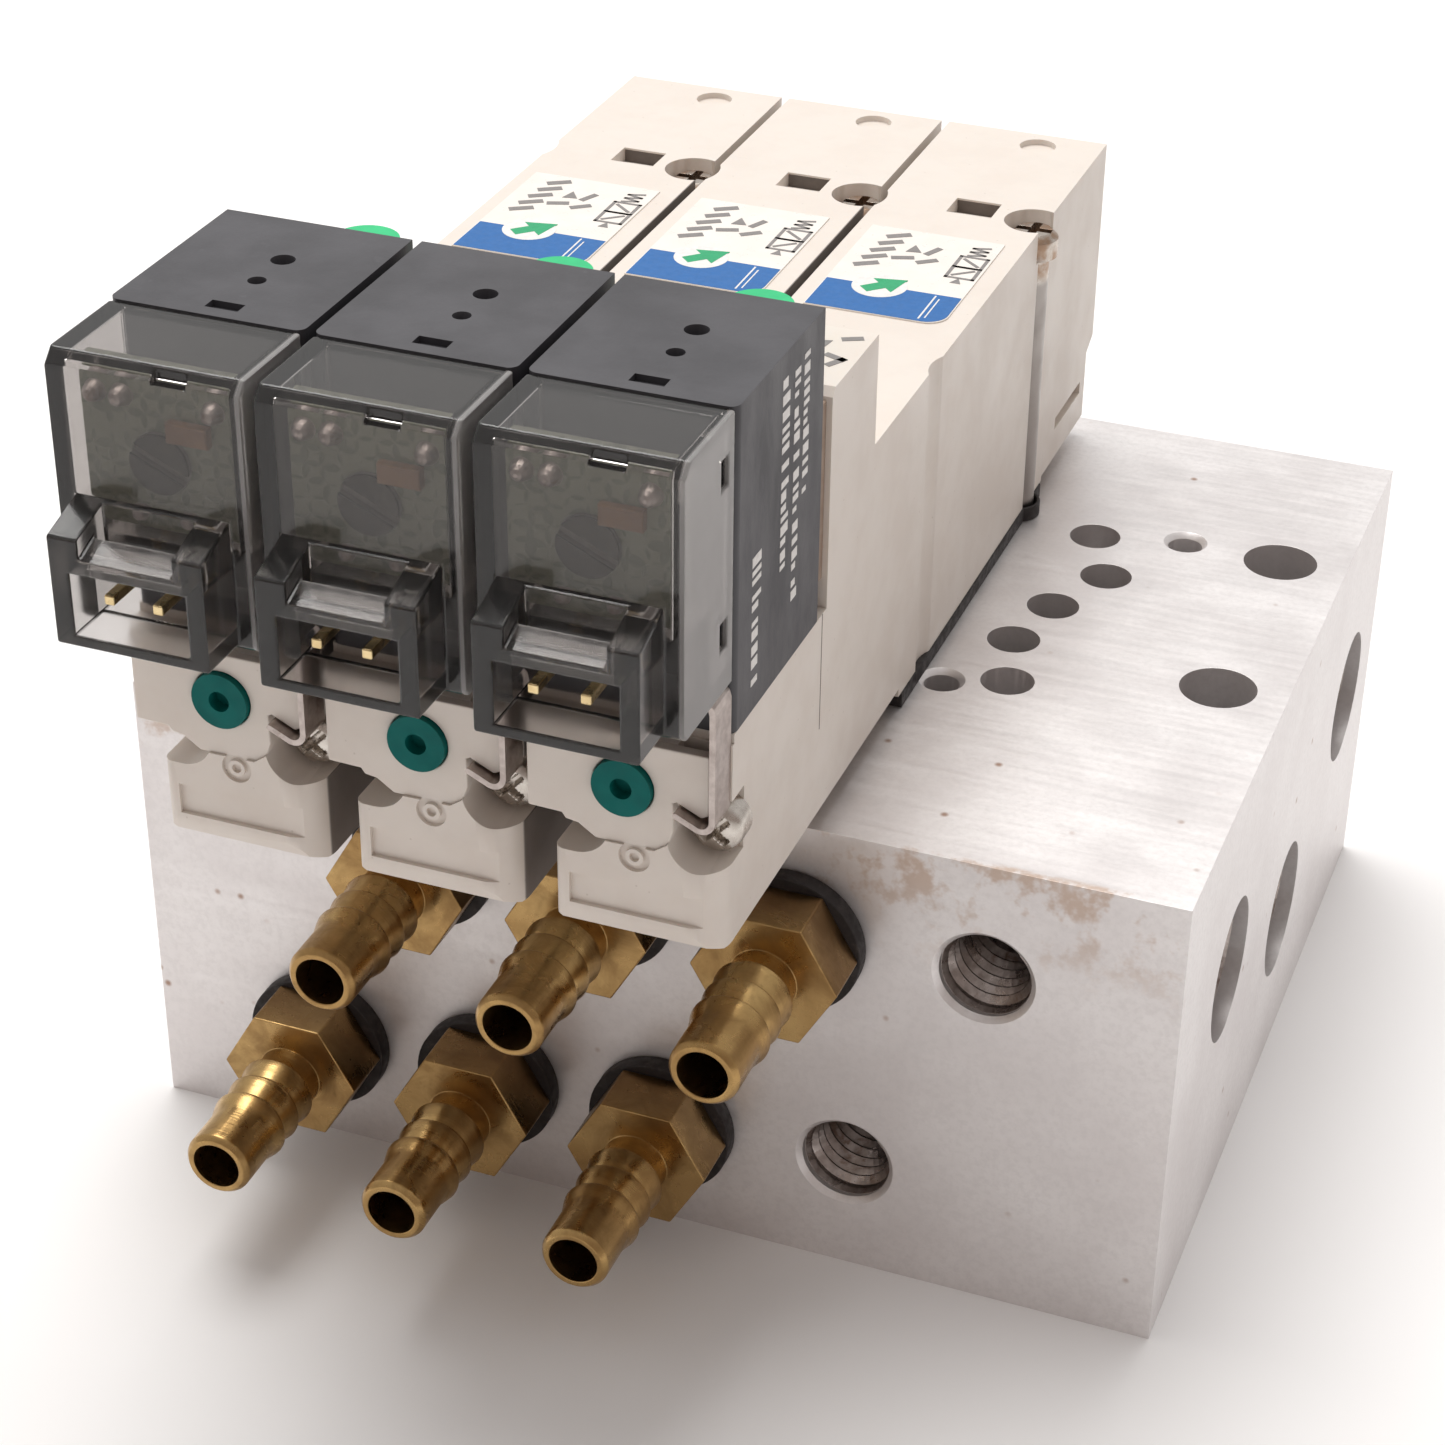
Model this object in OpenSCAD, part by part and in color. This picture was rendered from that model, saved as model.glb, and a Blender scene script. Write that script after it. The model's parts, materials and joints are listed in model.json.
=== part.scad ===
// Solenoid valve manifold: an aluminium block with four 10 mm wide stations.
// Three stations carry a pilot-operated 5/2 solenoid valve and two hose barbs each.
// Origin: centre of the block's bottom face. +X along the row of stations, +Y to the rear, +Z up.

/* [Manifold block] */
// Distance between neighbouring stations
pitch = 10.5; // [10.5:0.1:11]
// Length of block beyond the outer stations' centres
end_margin = 14; // [14:0.1:15]
// Depth of the block, front to rear
block_d = 51.5; // [51:0.1:53]
// Height of the block
block_h = 28; // [27.8:0.1:28.2]
// Stations that carry a valve, counted from the left
valve_count = 3; // [1:1:4]

/* [Block ports] */
// Radius of the threaded front ports at the wall
front_port_r = 2.5; // [2.3:0.05:2.55]
// Depth of the threaded front ports
front_port_len = 7; // [6.8:0.1:7.2]
// Radius of the five valve ports on each station
top_port_r = 1.5; // [1.3:0.05:1.5]
// Distance between neighbouring valve ports
top_port_pitch = 4.55; // [4.5:0.05:4.6]
// Radius of the end ports of the supply and exhaust galleries
end_port_r = 4.1; // [3.9:0.05:4.1]
// Depth of the end ports
end_port_len = 8; // [7:0.5:9]
// Radius of the through galleries
gallery_r = 2.8; // [2.4:0.1:2.8]
// Radius of the four vertical mounting holes
mount_hole_r = 2.15; // [2:0.05:2.15]

/* [Fittings] */
// Size across the flats of the fitting's hexagon
hex_af = 7; // [6.8:0.1:7.2]
// Distance from the block face to the tip of a fitting
fitting_reach = 12.85; // [12.6:0.05:13.2]
// Radius of the bore through a fitting
fitting_bore_r = 1.35; // [1.2:0.05:1.4]

/* [Valve] */
// Width of one valve
valve_w = 10; // [9.8:0.1:10]
// Height of the top of the valve body above the ground face
body_top = 46.8; // [46.6:0.1:47]
// Height of the top of the black coil case
coil_top = 57.6; // [57.4:0.1:57.8]
// Radius of the spool's bore
spool_bore_r = 2.85; // [2.8:0.01:2.9]
// Travel of the spool
spool_travel = 1.6; // [1.2:0.1:1.6]
// Radius of the front push override
push_r = 1.5; // [1.45:0.01:1.55]
// Radius of the turning override on the ridge
dial_r = 1.7; // [1.5:0.1:1.8]

/* [Hidden] */
$fn = 64;
eps = 0.05;
station_count = 4;
block_l = (station_count - 1) * pitch + 2 * end_margin;
block_front = -block_d / 2;
half_w = valve_w / 2;

// Heights and offsets of the front ports, measured from each station's centre
upper_port = [3.6, 21.1];
lower_port = [-3.55, 6.9];

// The five valve ports from front to rear: exhaust, B, supply, A, exhaust
port_y = [for (k = [0:4]) -7.75 + k * top_port_pitch];
port_x = [-0.9, -1.9, -0.9, 1, -0.9];
b_port = 1;
supply_port = 2;
a_port = 3;

// Galleries: [y, z] of supply and exhausts
supply_gallery = [2.4, 10];
exhaust_galleries = [[-13.1, 16], [17.9, 16]];
mount_hole_x = block_l / 2 - 3.9;
mount_hole_y = [-4.15, 11.4];

// Screws that hold a valve down: [x, y] from the station's centre
hold_down = [[-4.3, -8.95], [4.3, 11.75]];
hold_down_r = 1;
hold_down_depth = 6;
screw_head_r = 1.45;
screw_head_h = 1.5;
screw_seat = 44.8;
head_pocket_r = 1.75;
shank_channel_r = 1.2;
neighbour_groove_r = 2.6;
neighbour_groove_depth = 0.3;
screw_cross = [2.1, 0.5, 0.8];

// Levels
gasket_t = 0.9;
seat = block_h + gasket_t;
body_front = -13.1;
body_rear = 14.5;
cap_rear = 25;
spool_z = 38.5;
duct_r = 0.6;
valve_duct_r = 0.8;
gasket_hole_r = 1.6;
gasket_overlap = 0.08;
screw_hole_gap = 0.2;
gasket_ear_r = 1.4;
label_from = [-4.1, -4.2];
label_size = [7.9, 11.8];
label_t = 0.08;
label_corner_r = 1.2;

// Wedge-shaped slot in the top of the body: x range, y range and depth at its front and rear
slot_x = [-0.85, 1.85];
slot_y = [11.2, 13.4];
slot_depth = [0.15, 0.9];

// Fittings and their washers
washer_t = 1;
washer_r = 4.15;
shank_r = front_port_r;
shank_gap = 0.5;
hex_end = washer_t + 3.3;
barb_pitch = 1.6;
barb_count = 3;
barb_root_r = 1.82;
barb_crest_r = 2.2;
barb_rise = 0.35;
first_barb = hex_end + 1.5;
mouth = 0.35;
drill_r = 1.25;
exhaust_drill_r = 1.2;
exhaust_mouth = 4;

// Spool: lands with a seal between two flanges, and a pilot piston at its front end
land_w = 1.8;
flange_w = 0.4;
flange_r = 2.6;
land_core_r = 1.9;
seal_r = spool_bore_r - 0.05;
spool_rod_r = 1.2;
spool_front = -14.8;
piston_w = 1.8;
piston_groove_w = 0.7;
piston_core_r = 3.2;
spring_end = 21.9;
// Lands at rest: front end, beside B, beside A, rear end
land_y = [-11.4, port_y[b_port] - spool_travel / 2, port_y[a_port] - spool_travel / 2, 12.4];
spool_rear = land_y[3] + land_w / 2;

// Pilot adapter
face_front = -40.15;
adapter_bottom = 29.4;
foot_left = -3.45;
foot_rear = -31;
foot_top = 35.8;
foot_edge = 1.1;
foot_corner = [0.6, 1.8];
shelf = 41;
ridge = [-25.7, -18.9];
ridge_top = 52.8;
piston_r = 3.85;
piston_bore = [-17.6, body_front];
push_at = [0.1, 38];
push_front = -40.3;
push_len = 4.8;
push_bore_r = push_r + 0.05;
push_bore_end = -34.4;
push_dimple = [0.55, 0.7];
dial_y = -22.3;
dial_stem_r = 1.2;
dial_bore_r = dial_stem_r + 0.05;
dial_top = 55;
dial_bottom = 49.3;
dial_slot = [0.56, 0.6];
pilot_in_z = 45;
front_screw = [4.1, 35.7];
front_screw_head = [-38.4, -37];
front_screw_r = 1.4;
front_shank_r = 0.75;
front_screw_end = -11.5;
front_cross = [1.9, 0.45, 0.7];
pocket_r = 1.75;
left_pocket = [-2.35, 35.6];
running = 0.05;

// Front plate: its outline in [x, z], thickness and front
plate_t = 0.6;
plate_front = -40;
plate_top = 40.5;
plate_outline = [[-4.75, plate_top], [-4.75, 35.85], [-3.05, 35.8], [-2.85, 35.5], [-2.2, 35.4],
    [-1.35, 34.8], [1.7, 34.85], [2.35, 35.3], [2.6, 36], [2.6, 37.6], [2.8, 37.7], [4, 37.12],
    [4.35, 37.3], [4.4, 37.7], [4.4, plate_top]];

// Retaining clip: heights of its two bends and the tips of its tails, in [x, z]
clip_t = 0.3;
clip_w = 2;
clip_bend = 0.55;
clip_x = 4.76;
clip_bends = [43.15, 37.35];
clip_tips = [[3.2, 42.95], [2.95, 37.35]];

// Moulded marks on the adapter's face: a long recess, and a round one with a ring in it
recess_x = [-2.65, 4.1];
recess_z = [30.9, 32.6];
recess_depth = 0.25;
round_mark = [0.7, 34.25];
round_mark_r = [0.25, 0.45, 0.8];
round_mark_depth = 0.2;

// Coil
coil_front = -38.5;
coil_rear = -27.1;
coil_z = 52.3;
winding_r = 4.2;
coil_wall = 0.8;
nozzle_r = 0.45;
case_corner_r = 0.5;
cavity_rear = -28.8;
core_r = 1.5;
spring_pocket_r = 1;
spring_pocket = 1.2;
core_rear = -33.8;
armature_front = -33.3;
armature_rear = -28.9;
core_slot = [0.5, 0.6];
core_slot_turn = 25;

// Connector cover and its socket
cover_front = -44.45;
cover_bottom = 43.9;
cover_top = 57.5;
cover_half = 4.9;
cover_wall = 0.7;
socket_front = -47.25;
socket_half = 3.95;
socket_bottom = 44.2;
socket_inner_half = 2.98;
socket_inner = [44.75, 47.95];
socket_floor_y = -41.6;
board_front = -43;
board_t = 0.7;
core_front = board_front - 0.3;
pin_half_pitch = 1.25;
pin_z = 46.7;
pin_w = 0.5;
pin_tip = -46.8;

valve_parts = ["valve_body", "rear_cap", "pilot_adapter", "front_plate", "coil_case",
    "connector_cover", "circuit_board", "spool", "spool_seals", "push_override",
    "turn_override", "armature", "spool_spring", "armature_spring"];
row_parts = ["manifold_block", "fitting_washers", "base_gaskets", "coil_gaskets",
    "retaining_clips", "front_screws", "hold_down_screws", "contact_pins", "coil_cores",
    "coil_windings", "body_labels"];

// ---------- helpers ----------

module at_station(i) {
    translate([(i - (station_count + 1) / 2) * pitch, 0, 0]) children();
}

module every_valve() {
    for (i = [1:valve_count]) at_station(i) children();
}

// A cylinder whose axis points along +Y, starting at y0
module rod_y(x, z, y0, y1, r) {
    translate([x, y0, z]) rotate([-90, 0, 0]) cylinder(r = r, h = y1 - y0);
}

// A cylinder that spans two points
module rod_between(a, b, r) {
    d = b - a;
    reach = norm(d);
    translate(a) rotate([0, acos(d.z / reach), atan2(d.y, d.x)]) cylinder(r = r, h = reach);
}

// A box from one corner to the other
module block(a, b) {
    translate(a) cube(b - a);
}

// An outline in the YZ plane, extruded across x0 to x1
module side_profile(points, x0, x1) {
    translate([x0, 0, 0]) rotate([90, 0, 90]) linear_extrude(x1 - x0) polygon(points);
}

// What a round corner of radius r takes away; the corner is at the origin, the solid in the
// quadrant given by the signs
module corner_waste(r, sx, sy) {
    difference() {
        translate([sx > 0 ? -eps : -r, sy > 0 ? -eps : -r]) square(r + eps);
        translate([sx * r, sy * r]) circle(r);
    }
}

// A strip of constant width along a path in 2D
module strip(points, t) {
    for (k = [0:len(points) - 2]) {
        a = points[k];
        b = points[k + 1];
        translate(a) rotate(atan2(b.y - a.y, b.x - a.x)) translate([0, -t / 2]) square([norm(b - a), t]);
    }
    for (p = points) translate(p) circle(d = t, $fn = 32);
}

// Cross recess of size [reach, width, depth], cut down from the origin
module cross_recess(size) {
    for (a = [0, 90]) rotate(a) translate([-size.x / 2, -size.y / 2, -size.z])
        cube([size.x, size.y, size.z + eps]);
}

// A helical spring along +Z from the origin
module coil_spring(mean_r, wire_r, length, turns) {
    sides = 6;
    steps = 12 * turns;
    lift = (length - 2 * wire_r) / steps;
    ring_points = [for (s = [0:steps], k = [0:sides - 1])
        let (turn = s * 30, around = k * 360 / sides, r = mean_r + wire_r * cos(around))
            [r * cos(turn), r * sin(turn), wire_r + s * lift + wire_r * sin(around)]];
    side_faces = [for (s = [0:steps - 1], k = [0:sides - 1])
        let (n = (k + 1) % sides)
            each [[s * sides + k, (s + 1) * sides + n, s * sides + n],
                  [s * sides + k, (s + 1) * sides + k, (s + 1) * sides + n]]];
    caps = [[for (k = [0:sides - 1]) k], [for (k = [sides - 1:-1:0]) steps * sides + k]];
    polyhedron(ring_points, concat(side_faces, caps));
}

// ---------- manifold ----------

module front_port(at, drill_x, drill_end) {
    rod_y(at.x, at.y, block_front - eps, block_front + front_port_len, front_port_r);
    translate([at.x, block_front - eps, at.y]) rotate([-90, 0, 0])
        cylinder(r1 = front_port_r + mouth, r2 = front_port_r, h = mouth);
    rod_y(drill_x, at.y, block_front + front_port_len - eps, drill_end, drill_r);
}

module station_holes() {
    front_port(upper_port, 3, port_y[a_port]);
    front_port(lower_port, lower_port.x, port_y[b_port]);
    top = block_h + eps;
    // straight drillings: A and B down to their front ports, supply down to its gallery
    ends = [[a_port, upper_port.y - 1.5], [b_port, lower_port.y - 1.5],
        [supply_port, supply_gallery.y]];
    for (d = ends) translate([port_x[d[0]], port_y[d[0]], d[1]])
        cylinder(r = top_port_r, h = top - d[1]);
    // exhaust ports: a short straight mouth, then a slanted drilling to the gallery
    for (k = [0, 1]) {
        at = [port_x[4 * k], port_y[4 * k]];
        mouth_end = [at.x, at.y, block_h - exhaust_mouth];
        translate(mouth_end) cylinder(r = top_port_r, h = exhaust_mouth + eps);
        rod_between(mouth_end, [at.x, exhaust_galleries[k].x, exhaust_galleries[k].y], exhaust_drill_r);
    }
    for (s = hold_down) {
        translate([s.x, s.y, block_h - hold_down_depth])
            cylinder(r = hold_down_r, h = hold_down_depth + eps);
        translate([s.x, s.y, block_h - 0.3])
            cylinder(r1 = hold_down_r, r2 = hold_down_r + mouth, h = mouth);
    }
}

module gallery(at) {
    translate([-block_l / 2 - eps, at.x, at.y]) rotate([0, 90, 0])
        cylinder(r = gallery_r, h = block_l + 2 * eps);
    for (side = [-1, 1]) translate([side * (block_l / 2 + eps), at.x, at.y]) rotate([0, -side * 90, 0])
        cylinder(r = end_port_r, h = end_port_len + eps);
}

module manifold_block() color([0.74, 0.74, 0.75])
    difference() {
        block([-block_l / 2, -block_d / 2, 0], [block_l / 2, block_d / 2, block_h]);
        for (i = [1:station_count]) at_station(i) station_holes();
        gallery(supply_gallery);
        for (g = exhaust_galleries) gallery(g);
        for (side = [-1, 1], y = mount_hole_y) translate([side * mount_hole_x, y, -eps])
            cylinder(r = mount_hole_r, h = block_h + 2 * eps);
    }

// ---------- fittings ----------

// The hose end in section, from the hexagon to the tip
function barb_outline() = concat(
    [[0.5, hex_end - eps], [barb_root_r, hex_end - eps]],
    [for (k = [0:barb_count - 1]) each [
        [barb_root_r, first_barb + k * barb_pitch - barb_rise],
        [barb_crest_r, first_barb + k * barb_pitch],
        [barb_root_r + 0.08, first_barb + (k + 1) * barb_pitch - 0.5]]],
    [[barb_root_r + 0.08, fitting_reach - 0.3], [barb_root_r - 0.15, fitting_reach], [0.5, fitting_reach]]);

module fitting(at) color([0.72, 0.55, 0.26])
    translate([at.x, block_front, at.y]) rotate([90, 0, 0])
        difference() {
            union() {
                translate([0, 0, shank_gap - front_port_len])
                    cylinder(r = shank_r, h = front_port_len - shank_gap + washer_t + eps);
                translate([0, 0, washer_t])
                    cylinder(r = hex_af / sqrt(3), h = hex_end - washer_t, $fn = 6);
                rotate_extrude() polygon(barb_outline());
            }
            translate([0, 0, -front_port_len])
                cylinder(r = fitting_bore_r, h = front_port_len + fitting_reach + eps);
        }

module fitting_washers() color([0.1, 0.1, 0.1])
    every_valve() for (at = [upper_port, lower_port])
        translate([at.x, block_front, at.y]) rotate([90, 0, 0]) difference() {
            cylinder(r = washer_r, h = washer_t);
            translate([0, 0, -eps]) cylinder(r = shank_r, h = washer_t + 2 * eps);
        }

// ---------- valve body, cap and seals ----------

// An ear of the gasket goes round the rear screw
module base_gaskets() color([0.08, 0.08, 0.08])
    every_valve() difference() {
        rear_ear = hold_down[1];
        union() {
            block([-half_w - gasket_overlap, body_front + 0.4, block_h],
                  [half_w + gasket_overlap, body_rear - 0.3, seat]);
            translate([rear_ear.x, rear_ear.y, block_h]) cylinder(r = gasket_ear_r, h = gasket_t);
        }
        // room for the neighbouring gasket's ear
        translate([rear_ear.x - pitch, rear_ear.y, block_h - eps])
            cylinder(r = gasket_ear_r + 0.1, h = gasket_t + 2 * eps);
        for (k = [0:4]) translate([port_x[k], port_y[k], block_h - eps])
            cylinder(r = gasket_hole_r, h = gasket_t + 2 * eps);
        for (s = hold_down) translate([s.x, s.y, block_h - eps])
            cylinder(r = hold_down_r + screw_hole_gap, h = gasket_t + 2 * eps);
    }

// Vertical channel for a screw at the side of the valve that the screw stands on
module screw_channel(s) {
    side = s.x > 0 ? 1 : -1;
    translate([s.x, s.y, seat - eps]) cylinder(r = shank_channel_r, h = body_top - seat);
    block([side > 0 ? s.x : -half_w - eps, s.y - shank_channel_r, seat - eps],
          [side > 0 ? half_w + eps : s.x, s.y + shank_channel_r, body_top - eps]);
    translate([s.x, s.y, screw_seat]) cylinder(r = head_pocket_r, h = body_top - screw_seat + eps);
    // a shallow groove in the other side leaves room for the neighbouring valve's screw head
    translate([-side * (half_w + neighbour_groove_r - neighbour_groove_depth), s.y, seat - eps])
        cylinder(r = neighbour_groove_r, h = body_top - seat + 2 * eps);
}

module valve_body() color([0.86, 0.84, 0.79])
    difference() {
        block([-half_w, body_front, seat], [half_w, body_rear, body_top]);
        rod_y(0, spool_z, body_front - eps, body_rear + eps, spool_bore_r);
        for (k = [0:4]) translate([port_x[k], port_y[k], seat - eps])
            cylinder(r = valve_duct_r, h = spool_z - seat - 1.2);
        for (s = hold_down) screw_channel(s);
        rod_y(front_screw.x, front_screw.y, body_front - eps, front_screw_end, front_shank_r);
        side_profile([[slot_y[0], body_top - slot_depth[0]], [slot_y[1], body_top - slot_depth[1]],
            [slot_y[1], body_top + eps], [slot_y[0], body_top + eps]], slot_x[0], slot_x[1]);
    }

module rear_cap() color([0.86, 0.84, 0.79])
    difference() {
        side_profile([[body_rear, 29.2], [cap_rear - 1.3, 29.2], [cap_rear - 1.3, 33.5], [cap_rear, 34.2],
            [cap_rear, body_top], [body_rear, body_top]], -half_w, half_w);
        rod_y(0, spool_z, body_rear - eps, 22, spool_bore_r);
        for (side = [-1, 1]) block([side > 0 ? half_w - 0.7 : -half_w - eps, 17, 31.2],
            [side > 0 ? half_w + eps : -half_w + 0.7, 22.6, 32]);
        translate([1.2, 23.1, body_top - 0.35]) cylinder(r = 1.1, h = 1);
    }

module body_labels() color([0.93, 0.92, 0.9])
    every_valve() translate([label_from.x, label_from.y, body_top]) linear_extrude(label_t) difference() {
        square(label_size);
        translate([label_size.x, 0]) corner_waste(label_corner_r, -1, 1);
    }

module hold_down_screws() color([0.75, 0.73, 0.7])
    every_valve() for (s = hold_down) translate([s.x, s.y, 0]) difference() {
        union() {
            translate([0, 0, block_h - hold_down_depth + 0.5])
                cylinder(r = hold_down_r, h = screw_seat - block_h + hold_down_depth - 0.5 + eps);
            translate([0, 0, screw_seat]) cylinder(r = screw_head_r, h = screw_head_h - 0.4);
            translate([0, 0, screw_seat + screw_head_h - 0.4])
                cylinder(r1 = screw_head_r, r2 = screw_head_r - 0.4, h = 0.4);
        }
        translate([0, 0, screw_seat + screw_head_h]) cross_recess(screw_cross);
    }

// ---------- spool ----------

module spool() color([0.7, 0.7, 0.72]) {
    piston_front = spool_front - piston_w;
    rod_y(0, spool_z, piston_front, spool_rear, spool_rod_r);
    for (y = land_y) {
        rod_y(0, spool_z, y - land_w / 2, y + land_w / 2, land_core_r);
        for (side = [-1, 1]) let (mid = y + side * (land_w - flange_w) / 2)
            rod_y(0, spool_z, mid - flange_w / 2, mid + flange_w / 2, flange_r);
    }
    rod_y(0, spool_z, piston_front, spool_front, piston_core_r);
    piston_flange_w = (piston_w - piston_groove_w) / 2;
    rod_y(0, spool_z, piston_front, piston_front + piston_flange_w, piston_r - 0.15);
    rod_y(0, spool_z, spool_front - piston_flange_w, spool_front, piston_r - 0.15);
}

module ring_y(y0, y1, r_out, r_in) {
    difference() {
        rod_y(0, spool_z, y0, y1, r_out);
        rod_y(0, spool_z, y0 - eps, y1 + eps, r_in);
    }
}

module spool_seals() color([0.07, 0.07, 0.08]) {
    half_seal = land_w / 2 - flange_w;
    for (y = land_y) ring_y(y - half_seal, y + half_seal, seal_r, land_core_r);
    piston_mid = spool_front - piston_w / 2;
    ring_y(piston_mid - piston_groove_w / 2, piston_mid + piston_groove_w / 2, piston_r, piston_core_r);
}

module spool_spring() color([0.6, 0.6, 0.62])
    translate([0, spool_rear + 0.1, spool_z]) rotate([-90, 0, 0])
        coil_spring(1.8, 0.25, spring_end - spool_rear, 6);

// ---------- pilot adapter ----------

// Side outline: long foot under the coil, ridge behind it, low step up to the body
module adapter_outline() {
    side_profile([[body_front, adapter_bottom], [body_front, body_top], [ridge[1], body_top],
        [ridge[1], ridge_top], [ridge[0] + 0.4, ridge_top], [ridge[0], ridge_top - 0.4],
        [ridge[0], shelf], [-38.4, shelf], [-38.4, plate_top], [face_front, plate_top],
        [face_front, adapter_bottom + foot_edge],
        [face_front + 0.3 * foot_edge, adapter_bottom + 0.3 * foot_edge],
        [face_front + foot_edge, adapter_bottom]], -half_w, half_w);
}

// Below the front plate the foot is narrower on its left, and its corners are round
module foot_waste() {
    low = adapter_bottom - eps;
    block([-half_w - eps, face_front - eps, low], [foot_left, foot_rear, foot_top]);
    translate([0, 0, low]) linear_extrude(foot_top - low) {
        translate([foot_left, face_front]) corner_waste(foot_corner[0], 1, 1);
        translate([half_w, face_front]) corner_waste(foot_corner[1], -1, 1);
    }
    translate([foot_left, foot_rear, adapter_bottom]) rotate([90, 0, 0])
        linear_extrude(foot_rear - face_front + eps) corner_waste(foot_edge, 1, 1);
}

module screw_pocket(at, side) {
    rod_y(at.x, at.y, face_front - eps, front_screw_head[1], pocket_r);
    block([side > 0 ? at.x : -half_w - eps, face_front - eps, at.y - pocket_r],
          [side > 0 ? half_w + eps : at.x, front_screw_head[1], at.y + pocket_r]);
}

module round_mark_waste() {
    at = round_mark;
    back = face_front + round_mark_depth;
    difference() {
        rod_y(at.x, at.y, face_front - eps, back, round_mark_r[2]);
        difference() {
            rod_y(at.x, at.y, face_front - 2 * eps, back + eps, round_mark_r[1]);
            rod_y(at.x, at.y, face_front - 3 * eps, back + 2 * eps, round_mark_r[0]);
        }
    }
}

module plate_shape(y0, y1) {
    translate([0, y1, 0]) rotate([90, 0, 0]) linear_extrude(y1 - y0) polygon(plate_outline);
}

module pilot_adapter() color([0.86, 0.84, 0.79])
    difference() {
        adapter_outline();
        foot_waste();
        // seat for the front plate, and the space beside it for the clip
        plate_shape(face_front - eps, plate_front + plate_t);
        block([-half_w - eps, face_front - eps, foot_top - eps],
              [-4.7, plate_front + plate_t, plate_top + eps]);
        block([2.6, face_front - eps, 36.6], [half_w + eps, coil_front - 0.1, plate_top + eps]);
        screw_pocket(front_screw, 1);
        screw_pocket(left_pocket, -1);
        block([recess_x[0], face_front - eps, recess_z[0]],
              [recess_x[1], face_front + recess_depth, recess_z[1]]);
        round_mark_waste();
        // screw hole through to the body
        rod_y(front_screw.x, front_screw.y, front_screw_head[1] - eps, body_front + eps, front_shank_r);
        // bores of the push override, the pilot piston and the turning override
        rod_y(push_at.x, push_at.y, face_front - eps, push_bore_end, push_bore_r);
        rod_y(0, spool_z, piston_bore[0], piston_bore[1] + eps, piston_r + running);
        translate([0, dial_y, 49]) cylinder(r = dial_bore_r, h = ridge_top - 49 + eps);
        // pilot air: coil seat to the turning override's bore, down, and back to the piston
        rod_y(0, pilot_in_z, ridge[0] - eps, dial_y, duct_r);
        translate([0, dial_y, push_at.y]) cylinder(r = duct_r, h = 50 - push_at.y);
        rod_y(push_at.x, push_at.y, push_bore_end - eps, piston_bore[0] + eps, duct_r);
    }

module front_plate() color([0.88, 0.86, 0.81])
    difference() {
        plate_shape(plate_front, plate_front + plate_t);
        rod_y(push_at.x, push_at.y, plate_front - eps, plate_front + plate_t + eps, push_bore_r);
    }

module front_screws() color([0.78, 0.76, 0.73])
    every_valve() difference() {
        union() {
            rod_y(front_screw.x, front_screw.y, front_screw_head[0], front_screw_head[1], front_screw_r);
            rod_y(front_screw.x, front_screw.y, front_screw_head[1] - eps, front_screw_end, front_shank_r);
        }
        translate([front_screw.x, front_screw_head[0], front_screw.y]) rotate([90, 45, 0])
            cross_recess(front_cross);
    }

// The spring clip: a short hook over the coil's foot, a leg, and a hook below
module retaining_clips() color([0.7, 0.69, 0.68])
    every_valve() {
        bend_x = clip_x - clip_bend;
        top_bend = [for (a = [150:-30:0])
            [bend_x + clip_bend * cos(a), clip_bends[0] + clip_bend * sin(a)]];
        low_bend = [for (a = [0:-22:-110])
            [bend_x + clip_bend * cos(a), clip_bends[1] + clip_bend * sin(a)]];
        translate([0, coil_front - 0.1, 0]) rotate([90, 0, 0]) linear_extrude(clip_w)
            strip(concat([clip_tips[0]], top_bend, low_bend, [clip_tips[1]]), clip_t);
    }

module push_override() color([0, 0.48, 0.42])
    difference() {
        rod_y(push_at.x, push_at.y, push_front, push_front + push_len, push_r);
        rod_y(push_at.x, push_at.y, push_front - eps, push_front + push_dimple[1], push_dimple[0]);
    }

module turn_override() color([0.2, 0.72, 0.45])
    difference() {
        union() {
            translate([0, dial_y, ridge_top + 0.1]) cylinder(r = dial_r, h = dial_top - ridge_top - 0.1);
            translate([0, dial_y, dial_bottom])
                cylinder(r = dial_stem_r, h = ridge_top + 0.1 - dial_bottom + eps);
        }
        block([-dial_r - eps, dial_y - dial_slot[0] / 2, dial_top - dial_slot[1]],
              [dial_r + eps, dial_y + dial_slot[0] / 2, dial_top + eps]);
        rod_between([0, dial_y - 2, 50], [0, dial_y + 2, 50], 0.45);
    }

// ---------- coil ----------

module coil_gaskets() color([0.45, 0.36, 0.3])
    every_valve() difference() {
        block([-half_w + 0.3, coil_rear, 42.6], [half_w - 0.3, ridge[0], ridge_top - 0.6]);
        rod_y(0, pilot_in_z, coil_rear - eps, ridge[0] + eps, 0.7);
    }

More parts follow.
